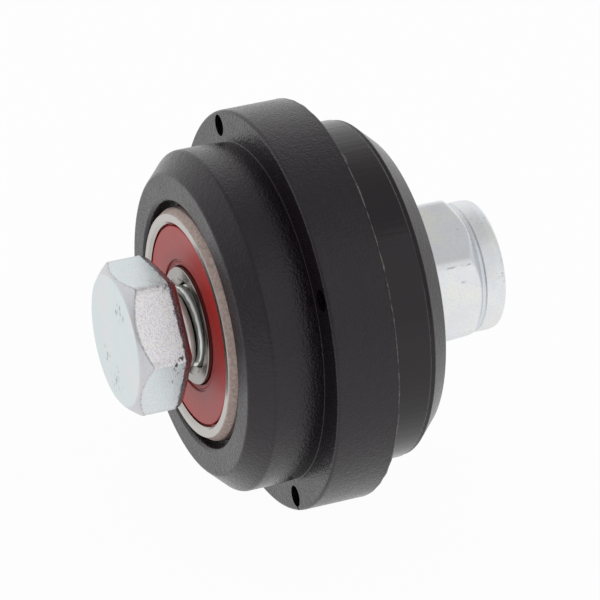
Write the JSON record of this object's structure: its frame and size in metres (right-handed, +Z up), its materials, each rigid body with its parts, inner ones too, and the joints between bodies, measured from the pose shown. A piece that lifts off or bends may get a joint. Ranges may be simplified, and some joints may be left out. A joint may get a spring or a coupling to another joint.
{
  "type": "chain roller",
  "caption": "Ribbed plastic roller that guides a drive chain, spinning on sealed ball bearings around a bolt with a lock nut.",
  "frame": {"origin": "middle of the tread, on the spin axis", "axes": "+Y along the bolt from its head to its nut, +Z up, +X to the right seen from the bolt head"},
  "size_m": [0.038, 0.0369, 0.038],
  "materials": {
    "wheel_plastic": "moulded, fine grain",
    "bolt_zinc": "zinc plated",
    "nut_zinc": "zinc plated",
    "insert_nylon": "natural nylon",
    "spacer_steel": "turned",
    "bearing_steel": "ground",
    "ball_steel": "polished",
    "cage_nylon": "moulded nylon",
    "seal_rubber": "red moulded rubber"
  },
  "bodies": {
    "axle": {"hex_bolt": "bolt_zinc", "lock_nut": "nut_zinc", "nut_insert": "insert_nylon", "inner_spacer": "spacer_steel", "front_inner_ring": "bearing_steel", "rear_inner_ring": "bearing_steel"},
    "roller": {"roller_body": "wheel_plastic", "front_outer_ring": "bearing_steel", "front_outer_seal": "seal_rubber", "front_inner_seal": "seal_rubber", "rear_outer_ring": "bearing_steel", "rear_outer_seal": "seal_rubber", "rear_inner_seal": "seal_rubber"},
    "front_ball_set": {"front_cage": "cage_nylon", "front_ball_1": "ball_steel", "front_ball_2": "ball_steel", "front_ball_3": "ball_steel", "front_ball_4": "ball_steel", "front_ball_5": "ball_steel", "front_ball_6": "ball_steel", "front_ball_7": "ball_steel"},
    "rear_ball_set": {"rear_cage": "cage_nylon", "rear_ball_1": "ball_steel", "rear_ball_2": "ball_steel", "rear_ball_3": "ball_steel", "rear_ball_4": "ball_steel", "rear_ball_5": "ball_steel", "rear_ball_6": "ball_steel", "rear_ball_7": "ball_steel"}
  },
  "joints": [
    {"name": "roller_spin", "type": "hinge", "parent": "axle", "child": "roller", "pos_m": [0, 0, 0], "axis": [0, 1, 0], "continuous": true},
    {"name": "front_ball_set_spin", "type": "hinge", "parent": "axle", "child": "front_ball_set", "pos_m": [0, 0, 0], "axis": [0, 1, 0], "continuous": true},
    {"name": "rear_ball_set_spin", "type": "hinge", "parent": "axle", "child": "rear_ball_set", "pos_m": [0, 0, 0], "axis": [0, 1, 0], "continuous": true}
  ],
  "couplings": [
    {"joint": "front_ball_set_spin", "follows": "roller_spin", "ratio": 0.6323},
    {"joint": "rear_ball_set_spin", "follows": "roller_spin", "ratio": 0.6323}
  ]
}
